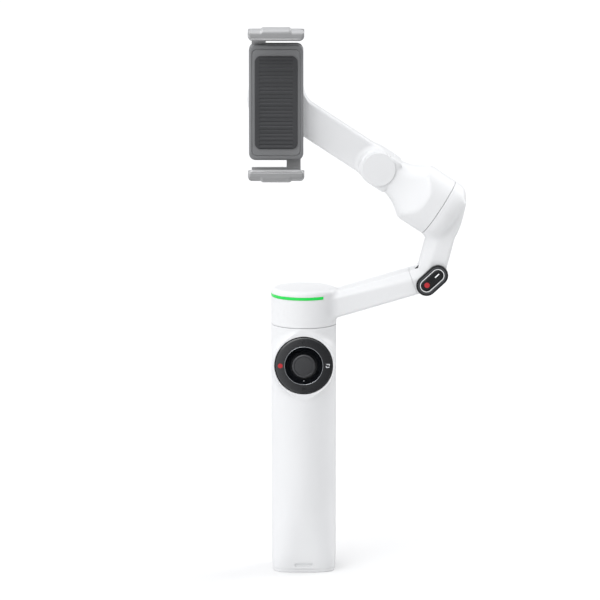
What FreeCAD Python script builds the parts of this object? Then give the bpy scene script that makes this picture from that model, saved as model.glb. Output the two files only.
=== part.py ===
import FreeCAD, Part
import math
import os
from FreeCAD import Placement, Rotation, Vector

# Hand-held three-axis phone stabilizer. Millimetres, +Z up, the front faces -Y.
# The origin is the centre of the handle's flat base.

# Handle: a white moulded tube in two halves, round at the top, with a foot that is squared
# off a little and has large round corners
handle_radius = 16.8
cavity_radius = 14.6
handle_top = 128.5
handle_draft = 0.2            # narrowing from top to bottom
foot_squareness = 4.6         # exponent of the foot's outline; a circle has 2
foot_blend = 43.4             # height over which the outline turns round
foot_taper = 7.0              # the last millimetres narrow by foot_inset
foot_inset = 0.55
base_thickness = 1.6
base_edge = 0.5
turning_gap = 0.4             # seam left between two parts that turn on each other
fit_gap = 0.1                 # radial clearance of the pole's sliding tubes
pin_gap = 0.08                # radial clearance of a pin in its hole

# Telescopic pole, set behind the handle's centre to leave room for the cells
pole_y = 4.5
pole_bottom = 20.0
pole_radii = (6.3, 5.4, 4.5)  # outer radii of the three stages, largest first
pole_wall = 0.8
guide_radius = 7.2

# Tripod socket in the base, 1/4-20
thread_radius = 3.175
insert_radius = 4.5
insert_length = 8.0
spigot_top = 9.0
screw_circle = 11.0
screw_head_radius = 1.9
screw_head_height = 1.4
screw_sink = 0.4
screw_radius = 1.0
screw_length = 9.0
cradle_plate = 2.0

# Shallow finger slot in the front of the foot
notch_z = 3.9
notch_spacing = 3.75          # from its middle to the centre of each round end
notch_radius = 0.9
notch_floor = -15.6

# Cells, board and charging socket
cell_radius = 4.9
cell_x = 5.2
cell_y = -8.0
cell_length = 68.0
board_front = 12.4
board_half_width = 5.5
board_top = 75.0
socket_z = 14.0
socket_spacing = 2.9
socket_radius = 1.6
socket_wall = 0.3
socket_from = 11.8
socket_to = 16.7
tongue_half_width = 3.3
tongue_half_height = 0.35

# Control wheel and joystick on the handle's front
wheel_z = 109.3
wheel_radius = 14.86
wheel_hole = 15.15
wheel_front = -17.6
wheel_back = -12.9
pad_radius = 16.3
pad_front = -16.9
pad_round = 0.8
ledge_radius = 13.6           # the wheel's back runs on the ledge round this hole
ledge_front = -11.9
ledge_back = -10.4
dish_radius = 10.05
wheel_board_radius = 13.4
board_face = -11.7
board_thickness = 1.1
switch_circle = 10.8
stick_pivot_y = -9.1
cup_back = -5.4
cup_front = -9.8
cup_radius = 7.7
cup_bore = 6.4
cup_flange = 9.5
pin_radius = 0.8

# Rear trigger and power button
trigger_half_width = 5.0
trigger_bottom = 98.0
trigger_top = 114.0
trigger_proud = 0.9
trigger_corner = 2.0
trigger_gap = 0.3
power_half_width = 3.0
power_bottom = 79.0
power_top = 86.0
power_proud = 0.3
power_corner = 2.65
power_gap = 0.25

# Pan housing, with the status light let into its rim
pan_bottom = handle_top + turning_gap
pan_top = 147.5
pan_roof = 144.2
pan_edge_round = 2.5
pan_base_radius = 14.2
pan_base_thickness = 2.1
light_z = 144.0
light_height = 1.5
light_depth = 0.6
light_from = -125.0           # degrees round from the front, positive to the right
light_to = 37.0

# Lower arm: a straight bar that climbs to the right
arm_angle = 16.4
arm_start = Vector(18.4, 0, 139.7)
arm_height = 12.7
arm_depth = 17.0
arm_bevel = 2.8
edge_round = 1.2
arm_cover = (1.5, 25.5)       # reach along the bar of the cover underneath
arm_trough = 2.5              # the trough under the cover ends this far above the bar's middle
cover_half_depth = 5.8
cover_thickness = 1.5

# Fold hinge: the upper arm turns over on this axis
fold_centre = Vector(56.5, 0, 150.9)
fold_angle = 20.0
fold_pin_radius = 3.4
fold_pin_back = 12.0          # length of pin held in the lower arm
fold_head_radius = 4.6
fold_head_height = 1.2
fold_wall = 7.8               # depth of the upper arm's bearing wall
fold_washer_radius = 6.0
fold_washer = 0.3

# Elbow, button pod and fold lock
inner_corner = Vector(58.95, 0, 158.2)
pod_centre = Vector(66.2, 0, 152.6)
pod_angle = 42.6
pod_spacing = 3.95
pod_radius = 5.35
pod_front = -10.7
pod_floor = -9.0
trim_radius = 4.5
pod_light_radius = 3.5
pod_light_bore = 2.85
key_radius = 2.65
lock_angle = 45.0
lock_half_length = 1.3
lock_half_depth = 4.0
lock_proud = 0.9
lock_depth = 1.4
lock_gap = 0.3
lock_travel = 0.9

# Tilt axis: it rises to the left through the clamp's centre
clamp_centre = Vector(-14.2, 0, 244.5)
tilt_angle = 33.3
tilt_reach = 100.2            # from the tilt motor's seam to the clamp's centre
drum_radius = 16.0
drum_back = -9.5
drum_round = 7.0
drum_shoulder = 12.5
link_half_width = 9.1
link_front = -5.4
bar_half_width = 8.5
bar_front = 5.2
bar_back = 15.2
knuckle_from = 30.0
knuckle_reach = 38.0          # where the link arm steps back behind the phone
horn_from = 15.7              # the horn narrows from the drum to the knuckle
horn_to = 32.0
cap_reach = 37.0
cap_radius = 8.7
cap_thickness = 1.2
cap_proud = 0.5
link_tray = (46.0, 83.0)      # reach of the wiring tray in the bar's back
tray_half_width = 6.0
tray_floor = 8.0
link_cover_thickness = 1.3

# Motors: the same size on all three axes
can_radius = 12.4
can_wall = 1.1
motor_height = 9.0
magnet_thickness = 1.2
magnet_count = 14
magnet_sector = 22.0          # degrees
air_gap = 0.5
tooth_count = 12
slot_from = 7.2
slot_width = 1.4
sleeve_wall = 1.1
shaft_radius = 2.5
bearing_radius = 4.5
motor_cavity = 12.8
hub_radius = 6.0
hub_inset = 6.0               # how deep the tilt motor's base lies in the upper arm
roll_housing_radius = 15.0
roll_housing_back = 20.0
roll_motor_depth = 12.8
roll_cap_radius = 12.4
roll_cap_thickness = 0.8

# Clamp, relative to its centre
jaw_half_width = 14.5
jaw_inside = 36.1
jaw_outside = 39.6
jaw_front = -16.6
jaw_back = 2.0
jaw_corner = 3.2
lip_thickness = 1.6
lip_reach = 32.4
ridge_half_width = 7.2
ridge_height = 1.1
grip_thickness = 0.7
grip_half_width = 12.0
grip_front = -14.4
grip_back = -3.5
rack_end = 20.0
body_half_width = 14.0
body_half_height = 30.0
body_front = -5.0
body_back = 4.0
body_corner = 3.5
pad_half_width = 11.0
pad_half_height = 24.0
pad_thickness = 1.0
pad_corner = 3.0
pinion_pin = 1.5
slot_half_depth = 1.8
slot_half_width = 12.9
gear_module = 0.8
gear_teeth = 12
tooth_reach = 0.4             # stub teeth
tooth_root = 0.56
tooth_backlash = 0.15
pressure_angle = math.radians(20)

X, Y, Z = Vector(1, 0, 0), Vector(0, 1, 0), Vector(0, 0, 1)


def heading(degrees):
    """Unit vector in the XZ plane, counted up from +X."""
    return Vector(math.cos(math.radians(degrees)), 0, math.sin(math.radians(degrees)))


fold_axis = heading(fold_angle)
tilt_axis = heading(180 - tilt_angle)
tilt_seam = clamp_centre - tilt_axis * tilt_reach
pole_foot = Vector(0, pole_y, pole_bottom)
wheel_centre = Vector(0, 0, wheel_z)
pan_motor_foot = Z * (pan_bottom + pan_base_thickness)


def box(x0, x1, y0, y1, z0, z1):
    return Part.makeBox(x1 - x0, y1 - y0, z1 - z0, Vector(x0, y0, z0))


def rod(radius, start, axis, length):
    return Part.makeCylinder(radius, length, start, axis)


def tube(outer, inner, start, axis, length):
    return rod(outer, start, axis, length).cut(rod(inner, start, axis, length))


def outline(points):
    """Closed wire in the XZ plane. An item is a point, or a pair (through, end) for an arc.
    A straight line closes it where the last item doesn't end on the first."""
    last = points[-1][1] if isinstance(points[-1][0], tuple) else points[-1]
    closing = [] if last == points[0] else [points[0]]
    here, edges = Vector(points[0][0], 0, points[0][1]), []
    for item in points[1:] + closing:
        if isinstance(item[0], tuple):
            through, end = (Vector(x, 0, z) for x, z in item)
            edges.append(Part.Arc(here, through, end).toShape())
        else:
            end = Vector(item[0], 0, item[1])
            edges.append(Part.LineSegment(here, end).toShape())
        here = end
    return Part.Wire(edges)


def turned(points):
    """Solid turned about Z from an outline of (radius, height)."""
    return Part.Face(outline(points)).revolve(Vector(), Z, 360)


def slab(points, y0, y1):
    """Outline in the XZ plane, drawn through the depth y0 to y1."""
    face = Part.Face(outline(points))
    face.translate(Vector(0, y0, 0))
    return face.extrude(Vector(0, y1 - y0, 0))


def stadium(spacing, radius, y0, y1):
    """Long round-ended plate in the XZ plane, its long axis along X."""
    points = [
        (-spacing, -radius), (spacing, -radius), ((spacing + radius, 0), (spacing, radius)),
        (-spacing, radius), ((-spacing - radius, 0), (-spacing, -radius)),
    ]
    return slab(points, y0, y1)


def plate_box(half_width, half_height, y0, y1, corner):
    """Rectangular plate in the XZ plane with round corners."""
    plate = box(-half_width, half_width, y0, y1, -half_height, half_height)
    return rounded(plate, corner, lambda c: abs(abs(c.x) - half_width) < 0.01
                   and abs(abs(c.z) - half_height) < 0.01)


def soft_square(half_x, half_y, squareness, middle_y, height):
    """Level closed curve: an ellipse at squareness 2, boxier above it."""
    points = []
    for index in range(36):
        angle = math.radians(10 * index)
        across, deep = math.cos(angle), math.sin(angle)
        reach = (abs(across) ** squareness + abs(deep) ** squareness) ** (-1 / squareness)
        points.append(Vector(half_x * reach * across, middle_y + half_y * reach * deep, height))
    curve = Part.BSplineCurve()
    curve.interpolate(points, PeriodicFlag=True)
    return Part.Wire(curve.toShape())


def at(shape, origin):
    """Copy of a shape, moved by origin."""
    moved = shape.copy()
    moved.translate(origin)
    return moved


def turn_up(shape, origin, degrees):
    """Place a shape at origin, its +X raised by degrees towards +Z."""
    moved = shape.copy()
    moved.Placement = Placement(origin, Rotation(-Y, degrees)).multiply(shape.Placement)
    return moved


def aim(shape, origin, direction):
    """Place a shape at origin with its +Z along direction."""
    moved = shape.copy()
    moved.Placement = Placement(origin, Rotation(Z, direction)).multiply(shape.Placement)
    return moved


def half_space(origin, direction):
    """A large block that fills the side of a plane that direction points into."""
    block = box(-150, 150, -150, 150, 0, 300)
    return aim(block, origin, direction)


def rounded(shape, radius, wanted):
    """Fillet the edges for which wanted(centre of the edge) is true."""
    return shape.makeFillet(radius, [e for e in shape.Edges if wanted(e.CenterOfMass)])


def save(node, shape):
    shape.exportStep(f"parts/{node}.step")


# --- motors ---------------------------------------------------------------------------------

def motor(origin, direction):
    """Stator, bearing, turning can and magnets of one motor that stands on origin."""
    plate, can_foot, core_foot, magnet_foot = 1.2, 1.6, 2.4, 2.2
    can_bore = can_radius - can_wall
    magnet_bore = can_bore - magnet_thickness
    core_radius = magnet_bore - air_gap
    base = rod(can_radius - 0.4, Vector(), Z, plate)
    core = rod(core_radius, Z * core_foot, Z, motor_height - 2 * core_foot)
    for index in range(tooth_count):
        slot = box(slot_from, core_radius + 1, -slot_width / 2, slot_width / 2, 2, motor_height)
        slot.rotate(Vector(), Z, 360 / tooth_count * index)
        core = core.cut(slot)
    sleeve = rod(bearing_radius + sleeve_wall, Vector(), Z, motor_height - 2)
    stator = base.fuse([core, sleeve]).cut(rod(bearing_radius, Z * plate, Z, motor_height))
    bearing = tube(bearing_radius, shaft_radius + 0.05, Z * plate, Z, motor_height - 3.4)
    can = rod(can_radius, Z * can_foot, Z, motor_height - can_foot)
    can = can.cut(rod(can_bore, Z * can_foot, Z, motor_height - can_foot - 1.0))
    can = can.fuse(rod(shaft_radius, Z * 1.8, Z, motor_height - 2))
    pole = tube(can_bore, magnet_bore, Z * magnet_foot, Z, motor_height - 3.6)
    wedge = Part.makeCylinder(can_radius + 1, motor_height, Vector(), Z, magnet_sector)
    block = pole.common(wedge)
    magnets = []
    for index in range(magnet_count):
        magnet = block.copy()
        magnet.rotate(Vector(), Z, 360 / magnet_count * index)
        magnets.append(magnet)
    pieces = (stator.removeSplitter(), bearing, can.removeSplitter(), Part.makeCompound(magnets))
    return [aim(piece, origin, direction) for piece in pieces]


def save_motor(name, origin, direction):
    for part, shape in zip(("stator", "bearing", "rotor_can", "magnets"), motor(origin, direction)):
        save(f"{name}_{part}", shape)


# --- handle ---------------------------------------------------------------------------------

def handle_outline(height):
    """The handle's outline at a height: squared off at the foot, round above it."""
    rise = min(1.0, (height - base_thickness) / foot_blend)
    squareness = 2.0 + (foot_squareness - 2.0) * (1 - rise) ** 2
    taper = max(0.0, 1 - (height - base_thickness) / foot_taper)
    half = handle_radius - handle_draft * (1 - height / handle_top) - foot_inset * taper ** 1.5
    return soft_square(half, half, squareness, 0, height)


def window(half_width, bottom, top, corner):
    """Block through the back wall with four round corners."""
    block = box(-half_width, half_width, 8, 20, bottom, top)
    return rounded(block, corner, lambda c: abs(abs(c.x) - half_width) < 0.01
                   and abs(c.y - 14) < 0.01)


def curved_button(half_width, bottom, top, outer, corner):
    """Button whose face follows the handle's round back."""
    wall = tube(outer, cavity_radius - 0.9, Vector(), Z, handle_top)
    return window(half_width, bottom, top, corner).common(wall)


def handle_shells():
    foot_steps = 8
    heights = [base_thickness + foot_blend * (step / foot_steps) ** 1.6
               for step in range(foot_steps + 1)]
    heights += [70.0, 100.0, handle_top]
    body = Part.makeLoft([handle_outline(height) for height in heights], True)
    pad = rod(pad_radius, wheel_centre + Y * -4, -Y, -4 - pad_front)
    pad = rounded(pad, pad_round, lambda c: c.y < pad_front + 0.1)
    body = body.fuse(pad).cut(rod(cavity_radius, Vector(), Z, handle_top + 1))
    body = body.cut(rod(wheel_hole, wheel_centre + Y * ledge_front, -Y, 10))
    body = body.cut(rod(ledge_radius, wheel_centre + Y * ledge_back, -Y, 10))
    body = body.cut(at(stadium(notch_spacing, notch_radius, -20, notch_floor), Z * notch_z))
    front = body.common(half_space(Vector(), -Y))
    rear = body.common(half_space(Vector(), Y))
    rear = rear.cut(window(trigger_half_width + trigger_gap, trigger_bottom - trigger_gap,
                           trigger_top + trigger_gap, trigger_corner + trigger_gap))
    rear = rear.cut(window(power_half_width + power_gap, power_bottom - power_gap,
                           power_top + power_gap, power_corner + power_gap))
    rear = rear.cut(at(stadium(socket_spacing, socket_radius + 0.05, 8, 20), Z * socket_z))
    save("front_shell", front)
    save("rear_shell", rear)


def base_parts():
    sole = handle_outline(base_thickness)
    sole.translate(Z * -base_thickness)
    cap = Part.Face(sole).extrude(Z * base_thickness)
    cap = rounded(cap, base_edge, lambda c: c.z < 0.01)
    cap = cap.fuse(rod(cavity_radius - 0.1, Z * 0.5, Z, spigot_top - 0.5))
    cap = cap.cut(rod(insert_radius, Vector(), Z, insert_length))
    screws = []
    for index in range(3):
        spot = Rotation(Z, 90 + 120 * index).multVec(X * screw_circle)
        head_top = screw_sink + screw_head_height
        head = rod(screw_head_radius, spot + Z * screw_sink, Z, screw_head_height)
        screws.append(head.fuse(rod(screw_radius, spot + Z * head_top, Z, screw_length)))
        cap = cap.cut(screws[-1]).cut(rod(screw_head_radius, spot, Z, screw_sink))
    save("base_cap", cap.removeSplitter())
    save("tripod_insert", tube(insert_radius, thread_radius, Vector(), Z, insert_length))
    save("base_screws", Part.makeCompound(screws))
    return screws


def handle_insides(screws):
    plate_top = spigot_top + cradle_plate
    cell_top = plate_top + cell_length
    inner = cavity_radius - 0.2
    cradle = rod(inner, Z * spigot_top, Z, cradle_plate)
    rest_radius = 6.0
    cradle = cradle.fuse(rod(rest_radius, Vector(0, pole_y, plate_top), Z, pole_bottom - plate_top))
    upper = rod(inner, Z * cell_top, Z, cradle_plate).common(half_space(Vector(), -Y))
    upper = upper.cut(rod(guide_radius, pole_foot, Z, 100))
    divider = box(-0.2, 0.2, -12, -4, plate_top, cell_top)
    cradle = cradle.fuse(upper).fuse(divider)
    for screw in screws:
        cradle = cradle.cut(screw)
    save("cell_cradle", cradle.removeSplitter())
    cells = [rod(cell_radius, Vector(side * cell_x, cell_y, plate_top), Z, cell_length)
             for side in (-1, 1)]
    save("battery_cells", Part.makeCompound(cells))
    mouth_from = socket_from + 0.8
    shell = stadium(socket_spacing, socket_radius, socket_from, socket_to)
    mouth = stadium(socket_spacing, socket_radius - socket_wall, mouth_from, socket_to)
    tongue = box(-tongue_half_width, tongue_half_width, mouth_from, socket_to - 0.9,
                 -tongue_half_height, tongue_half_height)
    save("charging_socket", at(shell.cut(mouth).fuse(tongue), Z * socket_z))
    board = box(-board_half_width, board_half_width, board_front, board_front + 1,
                plate_top + 0.3, board_top)
    save("main_board", board.cut(at(shell, Z * socket_z)))
    cap_thickness = 2.2
    guide_top = handle_top - cap_thickness
    guide = tube(guide_radius, pole_radii[0] + fit_gap, pole_foot, Z, guide_top - pole_bottom)
    save("pole_guide", guide)
    cap = rod(cavity_radius - 0.1, Z * guide_top, Z, cap_thickness)
    save("handle_top_cap", cap.cut(rod(pole_radii[0] + fit_gap, pole_foot, Z, 120)))


def pole_stages():
    """Each stage slides in the one before it; the last one carries the pan base."""
    tops = (handle_top - 1.6, handle_top - 1.2, pan_bottom + pan_base_thickness)
    for index, (radius, top) in enumerate(zip(pole_radii, tops)):
        foot = pole_foot + Z * (1.0 + 0.5 * index)
        bore = radius - pole_wall
        save(f"pole_stage_{index + 1}", tube(radius, bore, foot, Z, top - foot.z))


# --- controls on the handle -----------------------------------------------------------------

def facing_front(shape, centre):
    """Turn a shape made about +Z so that its +Z points to the front, and centre it."""
    return aim(shape, centre, -Y)


def controls():
    front, back, floor, edge = -wheel_front, -wheel_back, 14.5, 0.9
    skirt = wheel_radius - 1.6
    wheel = turned([
        (4.6, back + 0.3), (4.6, floor), (7.6, floor),
        ((9.0, 15.2), (9.7, 16.9)), (dish_radius, front), (wheel_radius - edge, front),
        ((wheel_radius - 0.29 * edge, front - 0.29 * edge), (wheel_radius, front - edge)),
        (wheel_radius, back), (skirt, back), (skirt, back + 0.3),
    ])
    save("control_wheel", facing_front(wheel, wheel_centre))
    board = tube(wheel_board_radius, 7.9, wheel_centre + Y * board_face, Y, board_thickness)
    save("wheel_board", board)
    domes = []
    for index in range(4):
        spot = wheel_centre + heading(90 * index) * switch_circle + Y * board_face
        domes.append(rod(1.8, spot, -Y, 0.5))
    save("wheel_switches", Part.makeCompound(domes))
    cup_foot = wheel_centre + Y * cup_back
    cup = tube(cup_radius, cup_bore, cup_foot, -Y, cup_back - cup_front)
    cup = cup.fuse(rod(cup_radius, cup_foot, -Y, 1.0))
    cup = cup.fuse(tube(cup_flange, cup_bore, wheel_centre + Y * cup_front, -Y, 0.8))
    pivot = wheel_centre + Y * stick_pivot_y
    cup = cup.cut(rod(pin_radius + pin_gap, pivot - X * 9, X, 18))
    save("joystick_base", cup.removeSplitter())
    yoke_radius, yoke_bore, yoke_thickness, yoke_pins = 5.4, 3.4, 1.8, 7.3
    yoke = tube(yoke_radius, yoke_bore, pivot + Y * yoke_thickness / 2, -Y, yoke_thickness)
    for side in (-1, 1):
        yoke = yoke.fuse(rod(pin_radius, pivot + X * side * 5.0, X * side, yoke_pins - 5.0))
        yoke = yoke.cut(rod(pin_radius + pin_gap, pivot + Z * side * 2, Z * side, 5))
    save("joystick_yoke", yoke)
    ball, stick_pins, stick_radius, cap_foot = 2.4, 5.2, 2.0, 16.9
    stick = Part.makeSphere(ball, pivot)
    stick = stick.fuse(rod(pin_radius, pivot - Z * stick_pins, Z, 2 * stick_pins))
    stick = stick.fuse(rod(stick_radius, pivot, -Y, cap_foot + stick_pivot_y))
    save("joystick_stick", stick)
    cap = turned([(0, cap_foot), (5.9, cap_foot), ((6.18, 17.02), (6.3, 17.3)), (6.3, 18.3),
                  ((6.18, 18.6), (5.9, 18.7)), (5.0, 18.7), (4.7, 18.5), (4.7, 18.8), (0, 19.1)])
    save("joystick_cap", facing_front(cap, wheel_centre))
    save("trigger", curved_button(trigger_half_width, trigger_bottom, trigger_top,
                                  handle_radius + trigger_proud, trigger_corner))
    save("power_button", curved_button(power_half_width, power_bottom, power_top,
                                       handle_radius + power_proud, power_corner))


# --- pan head and lower arm -----------------------------------------------------------------

def light_ring(outer, inner, spare):
    """Arc of the status light. spare lengthens it, for the groove that it lies in."""
    ring = tube(outer, inner, Z * (light_z - light_height / 2), Z, light_height)
    wedge = Part.makeCylinder(outer + 1, 20, Vector(0, 0, light_z - 10), Z,
                              light_to - light_from + 2 * spare)
    wedge.rotate(Vector(), Z, light_from - 90 - spare)
    return ring.common(wedge)


def pan_head():
    base = rod(pan_base_radius, Z * pan_bottom, Z, pan_base_thickness)
    save("pan_base", base.cut(rod(pole_radii[2], pole_foot, Z, 130)))
    save_motor("pan", pan_motor_foot, Z)
    housing = rod(handle_radius, Z * pan_bottom, Z, pan_top - pan_bottom)
    housing = rounded(housing, pan_edge_round, lambda c: c.z > pan_top - 0.1)
    half, front = arm_height / 2, -arm_depth / 2
    bar_from, bar_to = -14.0, 48.0
    bar = box(bar_from, bar_to, front, -front, -half, half)
    upper_front = [edge for edge in bar.Edges if edge.CenterOfMass.z > half - 0.1
                   and edge.CenterOfMass.y < front + 0.1]
    bar = bar.makeChamfer(arm_bevel, upper_front)
    bar = rounded(bar, edge_round, lambda c: abs(c.x - (bar_from + bar_to) / 2) < 0.1)
    bar = turn_up(bar, arm_start, arm_angle)
    shell = housing.fuse(bar.cut(half_space(fold_centre, fold_axis)))
    cavity = rod(cavity_radius, Z * pan_bottom, Z, pan_roof - pan_bottom)
    motor_top = pan_motor_foot.z + motor_height
    hub = rod(hub_radius, Z * motor_top, Z, pan_roof - motor_top)
    shell = shell.cut(cavity.cut(hub))
    shell = shell.cut(light_ring(handle_radius + 1, handle_radius - light_depth, 0))
    trough = box(*arm_cover, -cover_half_depth, cover_half_depth, -half - 1, arm_trough)
    shell = shell.cut(turn_up(trough, arm_start, arm_angle))
    pin = rod(fold_pin_radius, fold_centre - fold_axis * fold_pin_back, fold_axis,
              fold_pin_back + fold_wall + 1.5)
    shell = shell.cut(pin)
    save("pan_arm", shell.removeSplitter())
    save("status_light", light_ring(handle_radius + 0.05, handle_radius - light_depth, 0))
    cover = box(*arm_cover, -cover_half_depth, cover_half_depth, -half, cover_thickness - half)
    save("pan_arm_cover", turn_up(cover, arm_start, arm_angle))
    head_foot = fold_centre + fold_axis * (fold_wall + 0.3)
    head = rod(fold_head_radius, head_foot, fold_axis, fold_head_height)
    save("fold_pin", pin.fuse(head).removeSplitter())
    save("fold_washer", tube(fold_washer_radius, fold_pin_radius + 0.05, fold_centre, fold_axis,
                             fold_washer))


# --- elbow and upper arm --------------------------------------------------------------------

def upper_arm():
    face = fold_centre + fold_axis * turning_gap
    arm = slab([(48.0, 141.9), (66.5, 147.3), ((70.6, 149.6), (71.9, 153.0)), (73.8, 158.9),
                (77.7, 173.9), ((81.3, 182.5), (83.3, 192.5)), (76.0, 200.0), (63.0, 177.0),
                (63.1, 173.9), (inner_corner.x, inner_corner.z), (48.0, 155.0)],
               -arm_depth / 2, arm_depth / 2)
    front = -arm_depth / 2
    inner_edges = [edge for edge in arm.Edges if abs(edge.CenterOfMass.y - front) < 0.01
                   and edge.CenterOfMass.z > 150 and 50 < edge.CenterOfMass.x < 62]
    arm = arm.makeChamfer(arm_bevel, inner_edges)
    profile = [(0, drum_back), (drum_radius - drum_round, drum_back),
               ((drum_radius - drum_round * 0.293, drum_back + drum_round * 0.293),
                (drum_radius, drum_back + drum_round)),
               (drum_radius, -turning_gap / 2), (0, -turning_gap / 2)]
    drum = aim(turned(profile), tilt_seam, tilt_axis)
    arm = arm.fuse(drum).cut(half_space(tilt_seam - tilt_axis * (turning_gap / 2), tilt_axis))
    motor_base = tilt_seam - tilt_axis * hub_inset
    arm = arm.cut(rod(motor_cavity, motor_base, tilt_axis, 10))
    arm = arm.common(half_space(face, fold_axis))
    arm = arm.cut(rod(fold_pin_radius + 0.05, fold_centre, fold_axis, fold_wall + 1))
    arm = arm.cut(rod(fold_head_radius + 0.4, fold_centre + fold_axis * fold_wall, fold_axis, 2))
    pocket_points = [(58.0, 148.0), (66.0, 150.4), (70.0, 154.5), (71.6, 161.0), (74.6, 172.5),
                     (66.5, 172.5), (63.5, 160.5), (61.0, 156.4)]
    beyond_pin = half_space(fold_centre + fold_axis * fold_wall, fold_axis)
    pocket = slab(pocket_points, -5.0, 9.0).common(beyond_pin)
    arm = arm.cut(pocket)
    cover = slab(pocket_points, 7.0, arm_depth / 2).common(beyond_pin)
    save("upper_arm_cover", cover)
    tab = box(-lock_half_length, lock_half_length, -lock_half_depth, lock_half_depth,
              -lock_depth, lock_proud)
    half_length, half_depth = lock_half_length + lock_gap, lock_half_depth + lock_gap
    slot = box(-half_length, half_length, -half_depth, half_depth, -lock_depth - lock_travel, 3.0)
    tab, slot = (turn_up(piece, inner_corner, lock_angle) for piece in (tab, slot))
    save("upper_arm", arm.cut(slot).removeSplitter())
    save("fold_lock_tab", tab)
    save_motor("tilt", motor_base, tilt_axis)


def button_pod():
    def plate(radius, y0, y1):
        return turn_up(stadium(pod_spacing, radius, y0, y1), pod_centre, pod_angle)

    body = stadium(pod_spacing, pod_radius, pod_front, -arm_depth / 2)
    body = rounded(body, 0.5, lambda c: c.y < pod_front + 0.01)
    body = turn_up(body, pod_centre, pod_angle)
    save("button_pod", body.cut(plate(trim_radius, pod_front - 1, pod_floor)))
    trim = plate(trim_radius, pod_front + 0.15, pod_floor)
    save("pod_trim", trim.cut(plate(pod_light_radius, -12, pod_floor)))
    light = plate(pod_light_radius, pod_front + 0.1, pod_floor)
    save("pod_light", light.cut(plate(pod_light_bore, -12, pod_floor)))
    key = stadium(pod_spacing, key_radius, pod_front - 0.1, pod_floor - 0.7)
    save("elbow_key", turn_up(key, pod_centre, pod_angle))


# --- link arm behind the phone --------------------------------------------------------------

def horn_section(rise):
    """Section of the horn at a share of its length: a round drum's at 0, a soft bar's at 1."""
    spread = (1 - rise ** 1.15) ** 2.6
    half_width = link_half_width - 0.2 + 6.6 * spread
    front = link_front + 0.2 - 10.2 * spread
    back = 13.4 + 2.2 * spread
    reach = horn_from + (horn_to - horn_from) * rise
    return soft_square(half_width, (back - front) / 2, 2.0 + 1.6 * rise ** 1.3,
                       (front + back) / 2, reach)


def link_arm():
    drum_end = drum_radius - 0.1
    steps = 7
    sections = [soft_square(drum_end, drum_end, 2.0, 0, drum_shoulder - 1.5)]
    sections += [horn_section(step / steps) for step in range(steps + 1)]
    horn = Part.makeLoft(sections, True)
    start = turning_gap / 2
    link = rod(drum_radius, Z * start, Z, drum_shoulder - start).fuse(horn)
    knuckle = box(-link_half_width, link_half_width, link_front, bar_back, knuckle_from,
                  knuckle_reach)
    knuckle = knuckle.fuse(rod(link_half_width, Vector(0, link_front, knuckle_reach), Y,
                               bar_back - link_front))
    bar = box(-bar_half_width, bar_half_width, bar_front, bar_back, knuckle_reach, tilt_reach)
    housing = rod(roll_housing_radius, Vector(0, bar_front, tilt_reach), Y,
                  roll_housing_back - bar_front)
    housing = rounded(housing, 2.0, lambda c: c.y > roll_housing_back - 0.1)
    link = link.fuse([knuckle, bar, housing])
    pocket = rod(motor_cavity + 0.2, Z * start, Z, 9 - start)
    link = link.cut(pocket.cut(rod(hub_radius, Z * (motor_height - hub_inset), Z, 9)))
    link = link.cut(rod(motor_cavity, Vector(0, bar_front, tilt_reach), Y, roll_motor_depth))
    tray = box(-tray_half_width, tray_half_width, tray_floor, bar_back, *link_tray)
    cover = box(-tray_half_width, tray_half_width, bar_back - link_cover_thickness, bar_back,
                *link_tray)
    cap = rod(cap_radius, Vector(0, link_front - cap_proud, cap_reach), Y,
              cap_proud + cap_thickness)
    link = link.cut(tray).cut(cap)
    cap = rounded(cap, 0.4, lambda c: c.y < link_front - cap_proud + 0.1)
    rear_foot = Vector(0, roll_housing_back - roll_cap_thickness, tilt_reach)
    rear = rod(roll_cap_radius, rear_foot, Y, roll_cap_thickness)
    link = link.cut(rear)
    for node, shape in (("link_arm", link.removeSplitter()), ("link_cover", cover),
                        ("link_cap", cap), ("roll_rear_cap", rear)):
        save(node, aim(shape, tilt_seam, tilt_axis))
    save_motor("roll", clamp_centre + Y * (bar_front + roll_motor_depth), -Y)


# --- clamp ----------------------------------------------------------------------------------

def pinion():
    """Stub-toothed gear about Y that keeps the two jaws level with each other."""
    pitch = gear_module * gear_teeth / 2
    base = pitch * math.cos(pressure_angle)
    tip, root = pitch + tooth_reach, pitch - tooth_root
    half_tooth = (math.pi * gear_module / 2 - tooth_backlash) / 2 / pitch
    half_tooth += math.tan(pressure_angle) - pressure_angle

    def half_angle(radius):
        roll = math.acos(base / radius) if radius > base else 0.0
        return half_tooth - (math.tan(roll) - roll)

    flank = [root] + [base + (tip - base) * step / 4 for step in range(5)]
    points = []
    for index in range(gear_teeth):
        middle = 2 * math.pi * index / gear_teeth
        for side, radii in ((-1, flank), (1, flank[::-1])):
            for radius in radii:
                angle = middle + side * half_angle(radius)
                points.append((radius * math.cos(angle), radius * math.sin(angle)))
    gear = slab(points, -slot_half_depth + 0.3, slot_half_depth - 0.3)
    return gear.cut(rod(pinion_pin + pin_gap, Vector(0, -3, 0), Y, 6))


def rack_edge(bottom, top):
    """Points of a rack's toothed edge in (reach towards the gear, height), from bottom to top."""
    pitch = math.pi * gear_module
    half = (pitch / 2 - tooth_backlash) / 2
    at_tip = half - tooth_reach * math.tan(pressure_angle)
    at_root = half + tooth_root * math.tan(pressure_angle)
    points = []
    for index in range(-6, 6):
        height = (index + 0.5) * pitch
        points += [(-tooth_root, height - at_root), (tooth_reach, height - at_tip),
                   (tooth_reach, height + at_tip), (-tooth_root, height + at_root)]
    return [(-tooth_root, bottom)] + points + [(-tooth_root, top)]


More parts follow.
